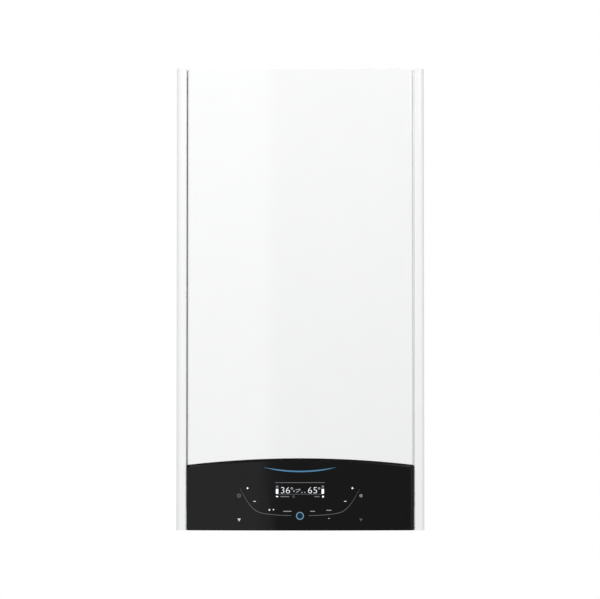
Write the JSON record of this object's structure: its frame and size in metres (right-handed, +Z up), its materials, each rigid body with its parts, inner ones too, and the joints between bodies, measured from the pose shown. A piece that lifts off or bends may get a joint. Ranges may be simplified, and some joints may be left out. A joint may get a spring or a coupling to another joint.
{
  "type": "condensing boiler",
  "caption": "Wall-hung condensing boiler: bowed white front between slim pilasters over a dark arched touch fascia, with full inner works and lift-off covers.",
  "frame": {"origin": "midway between the hanging bracket's two slots, on the wall plane", "axes": "+X to the right seen from the front, +Y into the wall, +Z up"},
  "size_m": [0.4, 0.319, 0.745],
  "materials": {
    "white_enamel": "smooth white powder coat",
    "inner_enamel": "pale grey powder coat on inner sheet",
    "galvanised": "galvanised sheet with a fine spangle",
    "zinc_fastener": "bright zinc plating",
    "stainless": "brushed stainless steel",
    "cast_aluminium": "cast, lightly blasted",
    "brass": "machined brass",
    "copper": "drawn copper",
    "gas_body": "die-cast",
    "vessel_red": "red enamel",
    "black_plastic": "fine moulded grain",
    "grey_plastic": "moulded",
    "white_plastic": "moulded",
    "composite": "glass-filled nylon",
    "fascia_black": "satin moulding",
    "pane_black": "deep gloss with printed keys",
    "circuit_green": "lacquered board",
    "light_guide": "clear, edge lit",
    "seal_foam": "closed-cell foam",
    "insulation": "dark faced foam board",
    "hose_rubber": "ribbed rubber",
    "braided": "steel braid over rubber",
    "knob_red": "moulded",
    "knob_blue": "moulded",
    "lead_silicone": "silicone"
  },
  "bodies": {
    "boiler_frame": {"wall_bracket": "galvanised", "back_frame": "galvanised", "left_side_panel": "white_enamel", "right_side_panel": "white_enamel", "casing_hooks": "zinc_fastener", "top_panel": "inner_enamel", "frame_screws": "zinc_fastener", "air_inlet_cap": "inner_enamel", "chamber_shell": "inner_enamel", "heat_exchanger_shell": "stainless", "heat_exchanger_rings": "stainless", "burner_door": "cast_aluminium", "door_nuts": "zinc_fastener", "burner": "stainless", "burner_manifold": "cast_aluminium", "electrodes": "stainless", "ignition_transformer": "black_plastic", "ignition_lead": "lead_silicone", "fan_housing": "cast_aluminium", "fan_motor": "black_plastic", "mixer": "composite", "silencer": "black_plastic", "exhaust_duct": "white_plastic", "flue_socket": "white_plastic", "pipe_plate": "galvanised", "flow_group": "brass", "return_group": "brass", "pump_motor": "black_plastic", "plate_exchanger": "stainless", "air_vent": "brass", "diverter_motor": "black_plastic", "relief_valve": "brass", "condensate_trap": "grey_plastic", "condensate_hose": "hose_rubber", "gas_valve": "gas_body", "gas_inlet_pipe": "copper", "gas_feed_pipe": "copper", "expansion_vessel": "vessel_red", "expansion_hose": "braided", "flow_pipe": "copper", "return_pipe": "copper", "temperature_sensors": "black_plastic"},
    "front": {"front_casing": "white_enamel", "front_insulation": "insulation"},
    "cover": {"chamber_cover": "inner_enamel", "cover_seal": "seal_foam"},
    "control_panel": {"fascia": "fascia_black", "touch_pane": "pane_black", "control_box": "black_plastic", "control_box_cover": "black_plastic", "main_board": "circuit_green", "display_module": "circuit_green", "light_guides": "light_guide", "cable_glands": "grey_plastic"},
    "left_clip": {"left_cover_clip": "zinc_fastener"},
    "right_clip": {"right_cover_clip": "zinc_fastener"},
    "fan_wheel": {"fan_impeller": "grey_plastic"},
    "pump_wheel": {"pump_impeller": "grey_plastic"},
    "relief_handle": {"relief_knob": "knob_red"},
    "filling_handle": {"filling_knob": "knob_blue"}
  },
  "joints": [
    {"name": "front_lift", "type": "slide", "parent": "boiler_frame", "child": "front", "axis": [0, 0, 1], "range_m": [0, 0.65]},
    {"name": "cover_lift", "type": "slide", "parent": "boiler_frame", "child": "cover", "axis": [0, 0, 1], "range_m": [0, 0.52]},
    {"name": "panel_swing", "type": "hinge", "parent": "boiler_frame", "child": "control_panel", "pos_m": [0, -0.29, -0.679], "axis": [1, 0, 0], "range_deg": [0, 90]},
    {"name": "left_clip_turn", "type": "hinge", "parent": "boiler_frame", "child": "left_clip", "pos_m": [-0.11, -0.2683, -0.469], "axis": [1, 0, 0], "range_deg": [0, 70]},
    {"name": "right_clip_turn", "type": "hinge", "parent": "boiler_frame", "child": "right_clip", "pos_m": [0.11, -0.2683, -0.469], "axis": [1, 0, 0], "range_deg": [0, 70]},
    {"name": "fan_spin", "type": "hinge", "parent": "boiler_frame", "child": "fan_wheel", "pos_m": [0, -0.18, -0.383], "axis": [1, 0, 0], "continuous": true},
    {"name": "pump_spin", "type": "hinge", "parent": "boiler_frame", "child": "pump_wheel", "pos_m": [0.098, -0.118, -0.543], "axis": [0, 1, 0], "continuous": true},
    {"name": "relief_turn", "type": "hinge", "parent": "boiler_frame", "child": "relief_handle", "pos_m": [-0.09, -0.155, -0.629], "axis": [0, -1, 0], "range_deg": [0, 90]},
    {"name": "filling_turn", "type": "hinge", "parent": "boiler_frame", "child": "filling_handle", "pos_m": [0.1, -0.118, -0.673], "axis": [0, 0, 1], "range_deg": [0, 360]}
  ]
}
